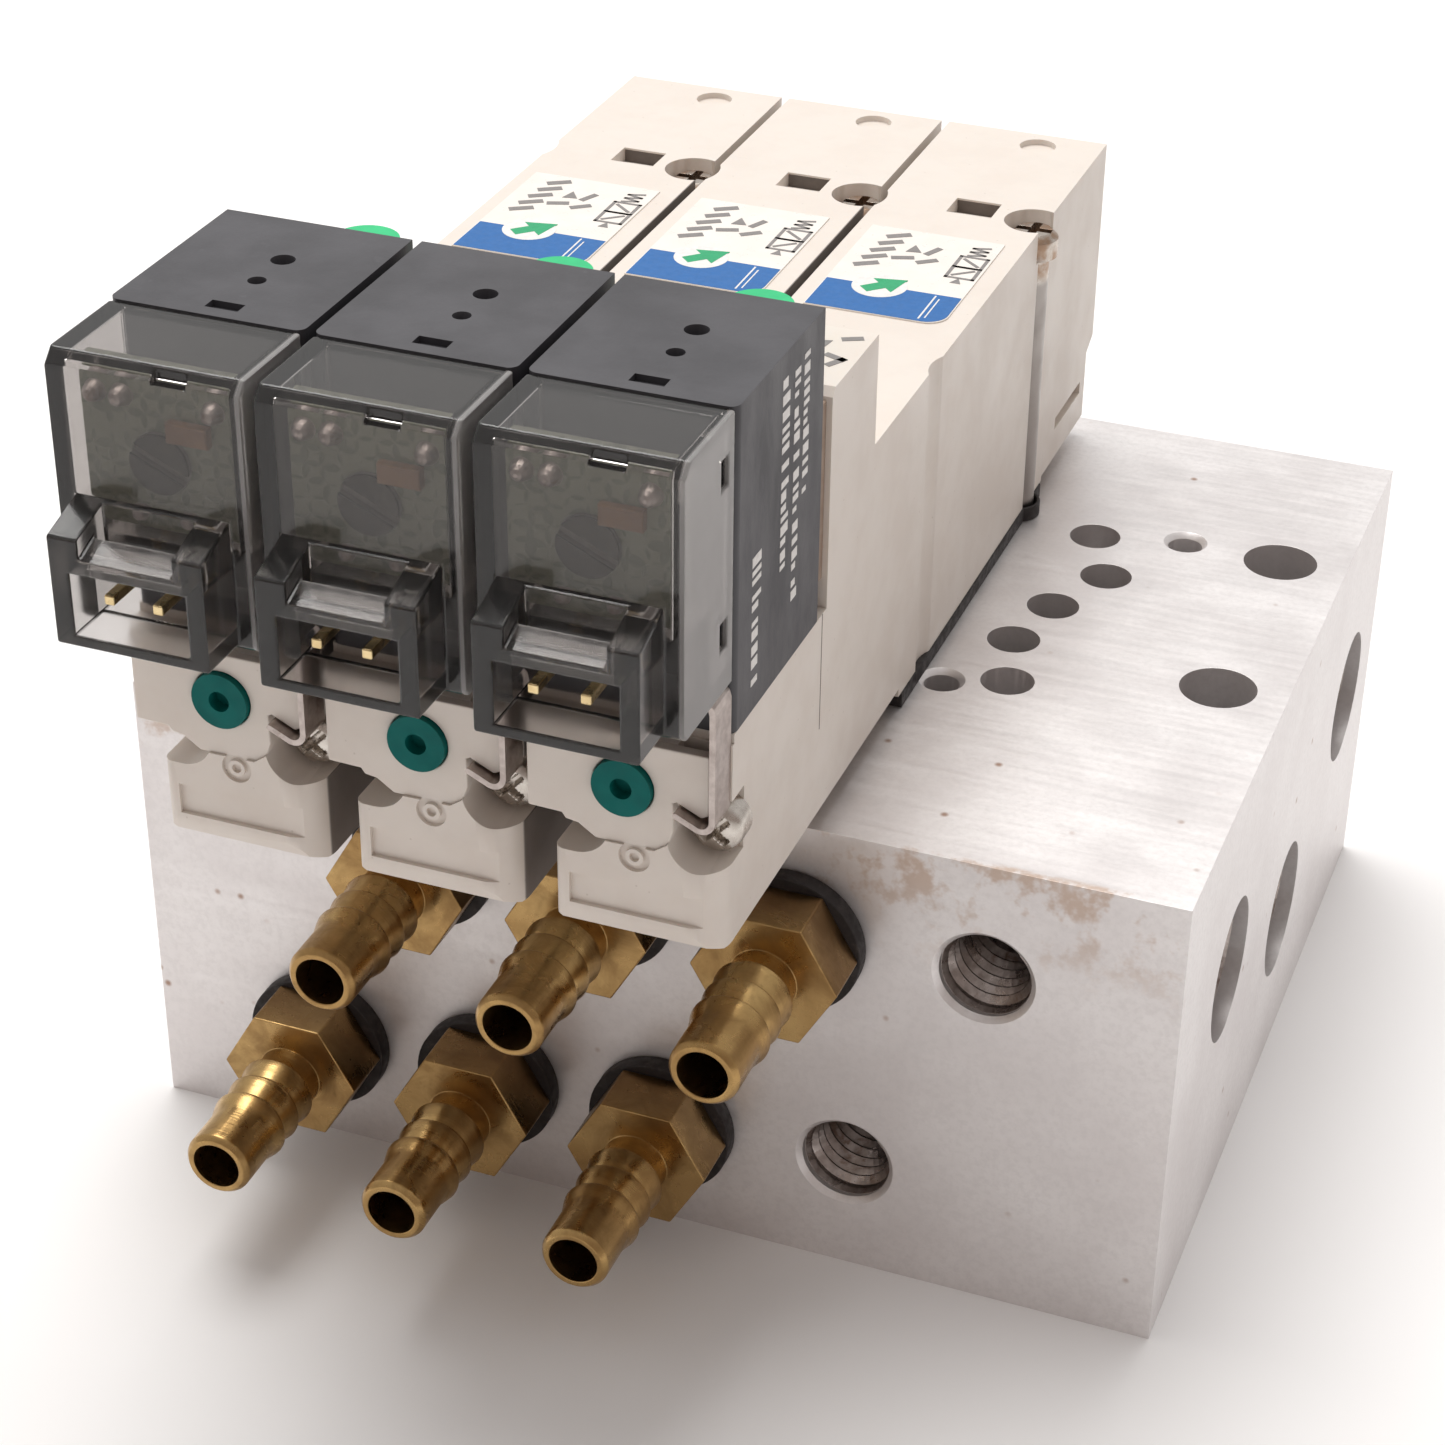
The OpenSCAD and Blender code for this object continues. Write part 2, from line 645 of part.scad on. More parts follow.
module coil_case() color([0.16, 0.15, 0.16])
    difference() {
        block([-half_w, coil_front, shelf], [half_w, coil_rear, coil_top]);
        for (side = [-1, 1]) translate([side * half_w, coil_front, shelf - eps])
            linear_extrude(coil_top - shelf + 1) corner_waste(case_corner_r, -side, 1);
        rod_y(0, coil_z, coil_front + coil_wall, cavity_rear, winding_r);
        rod_y(0, coil_z, coil_front - eps, coil_front + coil_wall + eps, core_r + running);
        // nozzle, duct and outlet of the pilot air
        rod_y(0, coil_z, cavity_rear - eps, cavity_rear + 0.8, nozzle_r);
        translate([0, cavity_rear + 0.8, pilot_in_z]) cylinder(r = nozzle_r, h = coil_z - pilot_in_z);
        rod_y(0, pilot_in_z, cavity_rear + 0.8, coil_rear + eps, duct_r);
        // moulded marks on the top
        translate([0.4, -31.6, coil_top - 0.7]) cylinder(r = 0.6, h = 1);
        translate([0.4, -34.2, coil_top - 0.6]) cylinder(r = 0.45, h = 1);
        block([-0.45, -37.7, coil_top - 0.35], [1.25, -36.9, coil_top + eps]);
    }

module coil_windings() color([0.62, 0.36, 0.18])
    every_valve() difference() {
        rod_y(0, coil_z, coil_front + coil_wall, cavity_rear, winding_r);
        rod_y(0, coil_z, coil_front, cavity_rear + eps, core_r + running);
    }

module coil_cores() color([0.3, 0.3, 0.31])
    every_valve() difference() {
        union() {
            rod_y(0, coil_z, core_front, coil_front + coil_wall + eps, core_r);
            rod_y(0, coil_z, coil_front + coil_wall, core_rear, core_r + running);
        }
        rod_y(0, coil_z, core_rear - spring_pocket, core_rear + eps, spring_pocket_r);
        translate([0, core_front, coil_z]) rotate([0, core_slot_turn, 0])
            translate([-core_r - eps, -eps, -core_slot[1] / 2])
                cube([2 * core_r + 2 * eps, core_slot[0], core_slot[1]]);
    }

module armature() color([0.6, 0.6, 0.62])
    difference() {
        rod_y(0, coil_z, armature_front, armature_rear, core_r);
        rod_y(0, coil_z, armature_front - eps, armature_front + spring_pocket, spring_pocket_r);
    }

module armature_spring() color([0.7, 0.7, 0.72])
    translate([0, core_rear - spring_pocket + 0.05, coil_z]) rotate([-90, 0, 0])
        coil_spring(0.72, 0.13, armature_front - core_rear + 2 * spring_pocket - 0.1, 5);

// ---------- connector ----------

module connector_cover() color([0.32, 0.3, 0.29, 0.6])
    difference() {
        union() {
            side_profile([[coil_front, cover_bottom], [cover_front + 0.3, cover_bottom],
                [cover_front, cover_bottom + 0.3], [cover_front, cover_top - 0.6],
                [cover_front + 0.6, cover_top], [coil_front, cover_top]], -cover_half, cover_half);
            side_profile([[cover_front + eps, socket_bottom], [socket_front, socket_bottom],
                [socket_front, 49.75], [cover_front + eps, 50.6]], -socket_half, socket_half);
        }
        // latch recess between the two rails: a ramp, then a slot into the socket
        side_profile([[socket_front - eps, 48.7], [-45.85, 49.25], [-45.85, 47.5], [-44.75, 47.5],
            [-44.75, 52], [socket_front - eps, 52]], -2.4, 2.4);
        // socket cavity and the room behind the cover
        block([-socket_inner_half, socket_front - eps, socket_inner[0]],
              [socket_inner_half, socket_floor_y, socket_inner[1]]);
        block([-cover_half + cover_wall, socket_floor_y + 0.9, cover_bottom + cover_wall],
              [cover_half - cover_wall, coil_front + eps, cover_top - cover_wall]);
        block([-cover_half + cover_wall, cover_front + cover_wall, socket_inner[1] + 0.75],
              [cover_half - cover_wall, coil_front + eps, cover_top - cover_wall]);
        // snap windows in the sides
        for (z = [46.1, 54.2])
            block([cover_half - cover_wall - eps, -40.1, z], [cover_half + eps, -39.2, z + 1.5]);
        // notch in the top front edge
        block([0.5, cover_front - eps, cover_top - 0.75], [2.2, cover_front + 0.5, cover_top + eps]);
        // passages for the two contact pins
        for (side = [-1, 1])
            translate([side * pin_half_pitch - pin_w / 2, socket_floor_y - eps, pin_z - pin_w / 2])
                cube([pin_w, 1, pin_w]);
    }

module circuit_board() color([0.3, 0.38, 0.32])
    difference() {
        block([-3.9, board_front, 48.9], [3.9, board_front + board_t, 56.5]);
        rod_y(0, coil_z, board_front - eps, board_front + board_t + eps, core_r);
    }

// Each pin runs straight back out of the socket, up behind it and forward to the board
module contact_pins() color([0.85, 0.68, 0.3])
    every_valve() for (side = [-1, 1]) translate([side * pin_half_pitch - pin_w / 2, 0, 0]) {
        tail_y = socket_floor_y + 1;
        tail_z = 49.4;
        block([0, pin_tip, pin_z - pin_w / 2], [pin_w, tail_y + pin_w, pin_z + pin_w / 2]);
        block([0, tail_y, pin_z], [pin_w, tail_y + pin_w, tail_z]);
        block([0, board_front + board_t, tail_z - pin_w], [pin_w, tail_y + pin_w, tail_z]);
    }

// ---------- build ----------

manifold_block();
fitting_washers();
base_gaskets();
coil_gaskets();
retaining_clips();
front_screws();
hold_down_screws();
contact_pins();
coil_cores();
coil_windings();
body_labels();
for (i = [1:valve_count]) {
    at_station(i) fitting(upper_port);
    at_station(i) fitting(lower_port);
    at_station(i) valve_body();
    at_station(i) rear_cap();
    at_station(i) pilot_adapter();
    at_station(i) front_plate();
    at_station(i) coil_case();
    at_station(i) connector_cover();
    at_station(i) circuit_board();
    at_station(i) spool();
    at_station(i) spool_seals();
    at_station(i) push_override();
    at_station(i) turn_override();
    at_station(i) armature();
    at_station(i) spool_spring();
    at_station(i) armature_spring();
}
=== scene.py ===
"""The looks of a solenoid valve manifold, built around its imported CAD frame.

Lengths are written in millimetres in the row frame: +X along the stations, +Y to the rear, +Z up.
Places come from the boxes of the CAD nodes wherever a node is near.
"""
import json
import math
import random

import bmesh
import bpy
from mathutils import Matrix, Vector


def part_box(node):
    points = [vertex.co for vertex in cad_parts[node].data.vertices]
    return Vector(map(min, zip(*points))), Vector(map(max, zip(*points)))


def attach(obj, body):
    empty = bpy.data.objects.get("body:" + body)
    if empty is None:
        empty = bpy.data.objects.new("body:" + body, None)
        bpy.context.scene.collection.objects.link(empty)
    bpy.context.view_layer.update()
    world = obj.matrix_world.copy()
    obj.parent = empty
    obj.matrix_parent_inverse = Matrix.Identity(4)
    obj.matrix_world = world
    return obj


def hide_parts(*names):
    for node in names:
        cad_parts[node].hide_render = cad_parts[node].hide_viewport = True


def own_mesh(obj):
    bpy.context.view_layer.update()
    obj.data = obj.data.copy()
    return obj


MM = 0.001
STATIONS = (1, 2, 3)
# how near two corners of a CAD mesh are taken for one
WELD_DISTANCE = 0.002
# how deep printed marks are sunk into a surface, and how thick they are
SINK, FILM = 0.01, 0.03

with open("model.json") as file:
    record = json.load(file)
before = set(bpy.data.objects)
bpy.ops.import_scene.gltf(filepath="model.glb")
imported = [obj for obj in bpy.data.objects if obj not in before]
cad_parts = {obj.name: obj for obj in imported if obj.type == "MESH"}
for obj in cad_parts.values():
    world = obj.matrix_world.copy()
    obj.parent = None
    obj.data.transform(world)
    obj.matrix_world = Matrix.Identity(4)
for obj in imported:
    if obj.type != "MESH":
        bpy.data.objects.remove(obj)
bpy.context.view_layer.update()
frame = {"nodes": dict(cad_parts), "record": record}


# ---------- places ----------

def corners(node):
    """Lowest and highest corner of a CAD node, in millimetres."""
    low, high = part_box(node)
    return low / MM, high / MM


def centre_x(station):
    low, high = corners(f"valve_body_{station}")
    return (low.x + high.x) / 2


STATION_PITCH = centre_x(2) - centre_x(1)


# ---------- materials ----------

class Paint:
    """One Principled material, with short ways to add nodes that vary it."""

    def __init__(self, name, **sockets):
        self.material = bpy.data.materials.new(name)
        self.material.use_nodes = True
        self.tree = self.material.node_tree
        self.shader = self.tree.nodes["Principled BSDF"]
        self.place = self.tree.nodes.new("ShaderNodeTexCoord").outputs["Object"]
        for socket, value in sockets.items():
            self.set(socket, value)

    def set(self, socket, value):
        """Sets or links a socket of the shader; its name is given with _ for a space."""
        target = self.shader.inputs[socket.replace("_", " ")]
        if isinstance(value, bpy.types.NodeSocket):
            self.tree.links.new(value, target)
        else:
            target.default_value = value

    def node(self, kind, inputs, **settings):
        made = self.tree.nodes.new(kind)
        for key, value in settings.items():
            setattr(made, key, value)
        for key, value in inputs.items():
            if isinstance(value, bpy.types.NodeSocket):
                self.tree.links.new(value, made.inputs[key])
            else:
                made.inputs[key].default_value = value
        return made

    def scaled(self, size, stretch=(1, 1, 1)):
        """Object coordinates counted in features of this size in millimetres."""
        scale = [1 / (size * MM * s) for s in stretch]
        return self.node("ShaderNodeMapping", {"Vector": self.place, "Scale": scale}).outputs[0]

    def noise(self, size, detail=3, rough=0.55, stretch=(1, 1, 1), twist=0):
        inputs = {"Vector": self.scaled(size, stretch), "Scale": 1, "Detail": detail,
                  "Roughness": rough, "Distortion": twist}
        return self.node("ShaderNodeTexNoise", inputs).outputs["Fac"]

    def cells(self, size, randomness=1, feature="F1"):
        inputs = {"Vector": self.scaled(size), "Scale": 1, "Randomness": randomness}
        return self.node("ShaderNodeTexVoronoi", inputs, feature=feature).outputs["Distance"]

    def range(self, value, low, high, to_low=0, to_high=1):
        inputs = {"Value": value, "From Min": low, "From Max": high, "To Min": to_low, "To Max": to_high}
        return self.node("ShaderNodeMapRange", inputs, interpolation_type="SMOOTHSTEP").outputs[0]

    def math(self, operation, a, b=0):
        return self.node("ShaderNodeMath", {0: a, 1: b}, operation=operation).outputs[0]

    def wrapped(self, value, span):
        """The value repeated over a span that has zero in its middle."""
        inputs = {0: value, 1: span / 2, 2: -span / 2}
        return self.node("ShaderNodeMath", inputs, operation="WRAP").outputs[0]

    def mix(self, share, a, b):
        a, b = (x if isinstance(x, bpy.types.NodeSocket) else (*x, 1) for x in (a, b))
        return self.node("ShaderNodeMix", {0: share, 6: a, 7: b}, data_type="RGBA").outputs[2]

    def axis(self, letter):
        """One object coordinate, in millimetres."""
        parts = self.node("ShaderNodeSeparateXYZ", {0: self.place})
        return self.math("DIVIDE", parts.outputs[letter], MM)

    def bump(self, height, depth, strength=1):
        """Relief whose full height is depth millimetres."""
        inputs = {"Height": height, "Distance": depth * MM, "Strength": strength}
        self.set("Normal", self.node("ShaderNodeBump", inputs).outputs[0])


def aluminium():
    """Fine matte block: faint clouds, long tool marks, brown specks, stains below the front's top edge."""
    low, high = corners("manifold_block")
    p = Paint("aluminium", Metallic=0.75)
    clouds = p.noise(9, 4, 0.6)
    grain = p.noise(0.35, 2, 0.6)
    marks = p.noise(0.5, 2, 0.5, stretch=(14, 1, 1))
    metal = p.mix(p.range(clouds, 0.3, 0.72), (0.72, 0.685, 0.68), (0.82, 0.795, 0.79))
    metal = p.mix(p.range(grain, 0.35, 0.75, 0, 0.35), metal, (0.64, 0.61, 0.605))
    on_front = p.range(p.axis("Y"), low.y + 0.6, low.y + 0.2)
    near_top = p.range(p.axis("Z"), high.z - 8, high.z - 0.5)
    patches = p.range(p.noise(2.4, 4, 0.65), 0.5, 0.66, 0, 0.75)
    stains = p.math("MULTIPLY", patches, p.math("MULTIPLY", on_front, near_top))
    metal = p.mix(stains, metal, (0.50, 0.36, 0.27))
    specks = p.math("MULTIPLY", p.range(p.cells(2.8), 0.11, 0.02), p.range(p.noise(6, 1), 0.48, 0.58))
    p.set("Base_Color", p.mix(p.math("MULTIPLY", specks, 0.8), metal, (0.30, 0.15, 0.08)))
    p.set("Roughness", p.range(p.math("ADD", clouds, marks), 0.6, 1.5, 0.36, 0.5))
    p.bump(p.math("ADD", grain, p.math("MULTIPLY", marks, 0.6)), 0.006, 0.6)
    return p.material


def brass():
    """Turned brass with a brown patina and turning rings along Y."""
    p = Paint("brass", Metallic=1)
    patina = p.noise(2.2, 5, 0.65, twist=0.6)
    rings = p.noise(0.13, 1, 0.5, stretch=(40, 1, 40))
    fresh = p.mix(p.range(p.noise(5, 2), 0.35, 0.7), (0.41, 0.255, 0.10), (0.55, 0.37, 0.155))
    colour = p.mix(p.range(patina, 0.38, 0.7, 0, 0.5), fresh, (0.22, 0.125, 0.05))
    colour = p.mix(p.range(p.noise(0.6, 3), 0.6, 0.78, 0, 0.35), colour, (0.12, 0.065, 0.03))
    # painted shade: duller, browner colour on the hexagons, near the block
    block_front = corners("manifold_block")[0].y
    shade_near_block = p.range(p.axis("Y"), block_front - 5.2, block_front - 2.5, 0, 0.6)
    p.set("Base_Color", p.mix(shade_near_block, colour, (0.17, 0.10, 0.05)))
    p.set("Roughness", p.range(patina, 0.35, 0.7, 0.24, 0.46))
    p.bump(p.math("ADD", rings, p.math("MULTIPLY", patina, 0.5)), 0.02, 0.5)
    return p.material


def ivory():
    """Warm white moulded plastic, slightly soiled, with painted shade in the gaps between the valves."""
    p = Paint("ivory_plastic", IOR=1.5, Subsurface_Weight=0.08, Subsurface_Scale=0.0006)
    p.set("Subsurface_Radius", (1.0, 0.7, 0.5))
    soil_and_shade = p.noise(4, 4, 0.6)
    base = p.mix(p.range(soil_and_shade, 0.35, 0.7), (0.735, 0.675, 0.615), (0.70, 0.635, 0.575))
    specks = p.range(p.cells(1.1), 0.075, 0.02, 0, 0.35)
    base = p.mix(specks, base, (0.36, 0.29, 0.23))
    # painted shade in the gaps between the valves: darker on the right walls of all but the last one
    x, y = p.axis("X"), p.axis("Y")
    from_wall = p.wrapped(p.math("ADD", x, -corners("valve_body_1")[1].x), STATION_PITCH)
    gap_shade = p.range(p.math("ABSOLUTE", from_wall), 0.09, 0.04)
    gap_shade = p.math("MULTIPLY", gap_shade, p.range(x, centre_x(3) + 2, centre_x(3) + 1))
    shade_rear, shade_fade = 10.8, 0.8
    gap_shade = p.math("MULTIPLY", gap_shade, p.range(y, shade_rear, shade_rear - shade_fade))
    p.set("Base_Color", p.mix(p.math("MULTIPLY", gap_shade, 0.95), base, (0.13, 0.11, 0.10)))
    p.set("Roughness", p.range(soil_and_shade, 0.3, 0.7, 0.36, 0.5))
    p.bump(p.noise(0.12, 2, 0.5), 0.004, 0.5)
    return p.material


def black_plastic():
    """Grained black moulding with grey rub marks."""
    p = Paint("black_plastic", IOR=1.5)
    rub = p.noise(1.8, 5, 0.7, stretch=(1, 1, 3))
    base = p.mix(p.range(p.noise(5, 3), 0.3, 0.7), (0.036, 0.035, 0.041), (0.058, 0.057, 0.065))
    p.set("Base_Color", p.mix(p.range(rub, 0.62, 0.8, 0, 0.5), base, (0.12, 0.118, 0.13)))
    p.set("Roughness", p.range(rub, 0.3, 0.8, 0.42, 0.6))
    p.bump(p.noise(0.16, 3, 0.6), 0.01, 0.7)
    return p.material


def smoke():
    """Smoke-tinted clear moulding. Its right side wall is frosted."""
    p = Paint("smoke_plastic", IOR=1.49)
    haze = p.noise(3, 3)
    low, high = corners("connector_cover_1")
    wall = high.x - centre_x(1)
    # distance to the right of the valve's middle plane, the same for every station
    beside = p.wrapped(p.math("ADD", p.axis("X"), -centre_x(1)), STATION_PITCH)
    frost = p.range(beside, wall - 0.35, wall - 0.15)
    p.set("Base_Color", p.mix(p.range(haze, 0.3, 0.7), (0.90, 0.88, 0.87), (0.86, 0.84, 0.83)))
    p.set("Transmission_Weight", p.range(frost, 0, 1, 0.98, 0.75))
    # the socket is scuffed, in front of the cover's front wall
    socket_reach, scuff_fade = 2.95, 0.4
    wall_y = low.y + socket_reach
    scuff = p.range(p.axis("Y"), wall_y, wall_y - scuff_fade)
    scuff = p.math("MULTIPLY", scuff, p.range(p.noise(2.5, 2), 0.3, 0.7, 0.07, 0.12))
    rough = p.math("ADD", p.range(haze, 0.3, 0.75, 0.03, 0.08), p.math("MULTIPLY", frost, 0.26))
    p.set("Roughness", p.math("ADD", rough, scuff))
    p.bump(p.noise(0.8, 2), 0.004, 0.4)
    murk = p.tree.nodes.new("ShaderNodeVolumeAbsorption")
    murk.inputs["Color"].default_value = (0.30, 0.27, 0.25, 1)
    murk.inputs["Density"].default_value = 500
    p.tree.links.new(murk.outputs[0], p.tree.nodes["Material Output"].inputs["Volume"])
    return p.material


def board():
    """Solder-mask green with faint tracks."""
    p = Paint("board", IOR=1.5)
    tracks = p.range(p.cells(0.9, 0.4, "F2"), 0.62, 0.7)
    p.set("Base_Color", p.mix(tracks, (0.20, 0.22, 0.15), (0.29, 0.31, 0.22)))
    p.set("Roughness", p.range(p.noise(1), 0.3, 0.7, 0.3, 0.45))
    p.bump(tracks, 0.02, 0.6)
    return p.material


def satin(name, light, dark, rough=0.38, grain=0.15, specular=0.5):
    """A plain satin moulding in two close tones."""
    p = Paint(name, IOR=1.5, Specular_IOR_Level=specular)
    p.set("Base_Color", p.mix(p.range(p.noise(1.6, 3), 0.3, 0.7), light, dark))
    p.set("Roughness", p.range(p.noise(0.9), 0.3, 0.7, rough - 0.06, rough + 0.08))
    p.bump(p.noise(grain, 2), 0.006, 0.5)
    return p.material


def rubber():
    p = Paint("black_rubber", IOR=1.45)
    dust = p.range(p.noise(0.7, 4, 0.7), 0.52, 0.75, 0, 0.6)
    p.set("Base_Color", p.mix(dust, (0.022, 0.018, 0.018), (0.075, 0.06, 0.055)))
    p.set("Roughness", p.range(p.noise(0.5), 0.3, 0.7, 0.5, 0.75))
    p.bump(p.noise(0.2, 3), 0.02, 0.6)
    return p.material


def plated(name, light, dark, stain, rough, stain_from=0.55):
    """Plated or bright steel with brown tarnish patches."""
    p = Paint(name, Metallic=1)
    tarnish = p.noise(1.4, 5, 0.65, twist=0.4)
    metal = p.mix(p.range(p.noise(0.5, 3), 0.3, 0.7), light, dark)
    p.set("Base_Color", p.mix(p.range(tarnish, stain_from, stain_from + 0.16, 0, 0.85), metal, stain))
    p.set("Roughness", p.range(tarnish, 0.3, 0.75, rough - 0.07, rough + 0.16))
    p.bump(p.noise(0.25, 3), 0.008, 0.5)
    return p.material


def screw_steel():
    """Bright screws. The hold-down heads are tarnished brown, and their shanks are painted a smooth dark grey
    as shade in their grooves.
    """
    p = Paint("screw_steel", Metallic=1)
    tarnish = p.noise(1.2, 4, 0.6, twist=0.3)
    height = p.axis("Z")
    # the front screws lie in front of these places, and the hold-down heads start near this height
    front_y, rear_y, head_z = -25, -20, 43.0
    hold_down = p.range(p.axis("Y"), front_y, rear_y)
    head = p.math("MULTIPLY", hold_down, p.range(height, head_z, head_z + 1.2))
    shank = p.math("MULTIPLY", hold_down, p.range(height, head_z + 0.6, head_z))
    metal = p.mix(p.range(p.noise(0.6, 3), 0.3, 0.7), (0.64, 0.60, 0.55), (0.50, 0.455, 0.41))
    browned = p.math("MULTIPLY", head, p.range(tarnish, 0.42, 0.62, 0.15, 0.85))
    metal = p.mix(browned, metal, (0.34, 0.21, 0.13))
    # painted shade: the hold-down shanks, down in their grooves, are coloured dark grey
    p.set("Base_Color", p.mix(shank, metal, (0.40, 0.37, 0.35)))
    p.set("Roughness", p.math("ADD", p.range(tarnish, 0.3, 0.75, 0.2, 0.38), p.math("MULTIPLY", shank, 0.14)))
    p.bump(p.noise(0.25, 3), 0.006, 0.4)
    return p.material


def core_steel():
    """Core of a coil: a dull brown-green end with a lighter slot."""
    low, high = corners("coil_cores")
    p = Paint("core_steel", Metallic=0.3)
    in_slot = p.range(p.axis("Y"), low.y + 0.08, low.y + 0.2)
    dull = p.mix(p.range(p.noise(0.8, 4), 0.35, 0.7), (0.055, 0.045, 0.03), (0.03, 0.024, 0.016))
    p.set("Base_Color", p.mix(in_slot, dull, (0.30, 0.28, 0.25)))
    p.set("Roughness", p.range(p.noise(0.5), 0.3, 0.7, 0.4, 0.55))
    p.bump(p.noise(0.2, 3), 0.01, 0.5)
    return p.material


def winding():
    """Enamelled copper wire, one turn beside another along Y."""
    p = Paint("copper_winding", Metallic=0.6)
    wire_pitch = 0.16
    turns = p.math("SINE", p.math("MULTIPLY", p.axis("Y"), 2 * math.pi / wire_pitch))
    p.set("Base_Color", p.mix(p.range(turns, -1, 1), (0.16, 0.045, 0.018), (0.50, 0.19, 0.08)))
    p.set("Roughness", p.range(p.noise(0.6), 0.3, 0.7, 0.25, 0.4))
    p.bump(turns, 0.06)
    return p.material


def ink(name, colour, rough=0.5):
    """Printed ink, a little uneven."""
    p = Paint(name, IOR=1.45)
    worn = p.range(p.noise(0.28, 3, 0.6), 0.25, 0.8)
    p.set("Base_Color", p.mix(worn, colour, tuple(c * 0.86 for c in colour)))
    p.set("Roughness", p.range(p.noise(0.5), 0.3, 0.7, rough - 0.08, rough + 0.08))
    p.bump(worn, 0.003, 0.4)
    return p.material


MATERIALS = {
    "aluminium": aluminium(),
    "brass": brass(),
    "ivory_plastic": ivory(),
    "black_plastic": black_plastic(),
    "smoke_plastic": smoke(),
    "board": board(),
    "spool_metal": plated("spool_metal", (0.78, 0.78, 0.80), (0.66, 0.66, 0.68), (0.5, 0.48, 0.46),
                          0.28, 0.7),
    "black_rubber": rubber(),
    "teal_plastic": satin("teal_plastic", (0.0009, 0.140, 0.126), (0.0007, 0.112, 0.102), 0.52, 0.15, 0.15),
    "green_plastic": satin("green_plastic", (0.03, 0.56, 0.22), (0.025, 0.48, 0.19), 0.4, 0.15, 0.3),
    "soft_steel": plated("soft_steel", (0.30, 0.29, 0.28), (0.20, 0.19, 0.18), (0.10, 0.07, 0.05), 0.38),
    "spring_steel": plated("spring_steel", (0.52, 0.46, 0.43), (0.40, 0.345, 0.32), (0.27, 0.20, 0.16),
                           0.36, 0.6),
    "screw_steel": screw_steel(),
    "gold_pin": plated("gold_pin", (0.80, 0.64, 0.36), (0.66, 0.51, 0.27), (0.42, 0.28, 0.13), 0.24, 0.68),
    "copper_winding": winding(),
    "brown_gasket": satin("brown_gasket", (0.36, 0.27, 0.21), (0.28, 0.20, 0.15), 0.6),
    "label_film": satin("label_film", (0.84, 0.79, 0.74), (0.80, 0.75, 0.70), 0.32),
}
CORE_STEEL = core_steel()
BORED = plated("bored_aluminium", (0.45, 0.40, 0.38), (0.30, 0.26, 0.24), (0.18, 0.11, 0.08), 0.3)
SOLDER = plated("solder", (0.62, 0.55, 0.52), (0.48, 0.42, 0.39), (0.32, 0.24, 0.20), 0.42)
TAN_CHIP = satin("tan_chip", (0.42, 0.24, 0.12), (0.30, 0.16, 0.08))
INK = {
    "blue": ink("blue_ink", (0.012, 0.13, 0.40)),
    "grey": ink("grey_ink", (0.235, 0.22, 0.215)),
    "white": ink("white_ink", (0.80, 0.78, 0.76)),
    "green": ink("green_ink", (0.015, 0.36, 0.15)),
    "seam": ink("seam_shade", (0.16, 0.12, 0.10), 0.7),
    # painted shade, a dark ink for the rear walls of the slots in the bodies' tops
    "soil_and_shade": ink("soil_and_shade", (0.15, 0.125, 0.11), 0.8),
}


def finish_cad_nodes():
    """Gives every CAD node a material, its slot's one but for the coil cores, and softened edges, but for the
    springs.
    """
    edge = {"manifold_block": 0.16, "body_labels": 0.03, "connector_cover": 0.16, "coil_case": 0.22,
            "valve_body": 0.2, "rear_cap": 0.2, "pilot_adapter": 0.2, "circuit_board": 0.06}
    small_edge = 0.07
    slots = {row["node"]: row["material_slot"] for row in frame["record"]["subparts"]}
    for name, node in frame["nodes"].items():
        node.data.materials.clear()
        node.data.materials.append(CORE_STEEL if name == "coil_cores" else MATERIALS[slots[name]])
        if "spring" in name:
            continue
        kind = name.rstrip("0123456789").rstrip("_")
        soften(node, edge.get(kind, small_edge))


def curved_faces(mesh, sharp_angle):
    """Faces that meet a neighbour at a small angle, so that they belong to a curved surface."""
    flat_angle = 0.8
    key = [tuple(round(c / (WELD_DISTANCE * MM)) for c in vertex.co) for vertex in mesh.vertices]
    beside = {}
    for polygon in mesh.polygons:
        ring = list(polygon.vertices)
        for a, b in zip(ring, ring[1:] + ring[:1]):
            beside.setdefault(frozenset((key[a], key[b])), []).append(polygon.index)
    curved = set()
    flat_limit = math.cos(math.radians(flat_angle))
    sharp_limit = math.cos(math.radians(sharp_angle))
    for faces in beside.values():
        if len(faces) == 2:
            turn = mesh.polygons[faces[0]].normal.dot(mesh.polygons[faces[1]].normal)
            if sharp_limit < turn < flat_limit:
                curved.update(faces)
    return curved


def soften(node, width):
    """Rounds a CAD node's sharp edges by width millimetres and keeps its flat faces flat in their shading."""
    sharp_angle = 34
    curved = curved_faces(node.data, sharp_angle)
    for polygon in node.data.polygons:
        polygon.use_smooth = polygon.index in curved
    weld = node.modifiers.new("weld", "WELD")
    weld.merge_threshold = WELD_DISTANCE * MM
    bevel = node.modifiers.new("edge", "BEVEL")
    bevel.width = width * MM
    bevel.segments = 2
    bevel.limit_method = "ANGLE"
    bevel.angle_limit = math.radians(sharp_angle)
    bevel.face_strength_mode = "FSTR_AFFECTED"
    normals = node.modifiers.new("normals", "WEIGHTED_NORMAL")
    normals.weight = 100
    normals.use_face_influence = True
    normals.keep_sharp = True


finish_cad_nodes()


# ---------- pieces ----------

def piece(name, mesh, material, body):
    """A bmesh drawn in millimetres becomes an object that rides on a body."""
    bmesh.ops.recalc_face_normals(mesh, faces=mesh.faces)
    bmesh.ops.scale(mesh, vec=(MM, MM, MM), verts=mesh.verts)
    data = bpy.data.meshes.new(name)
    mesh.to_mesh(data)
    mesh.free()
    made = bpy.data.objects.new(name, data)
    bpy.context.scene.collection.objects.link(made)
    data.materials.append(material)
    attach(made, body)
    return made


def shade_smooth(made):
    for polygon in made.data.polygons:
        polygon.use_smooth = True


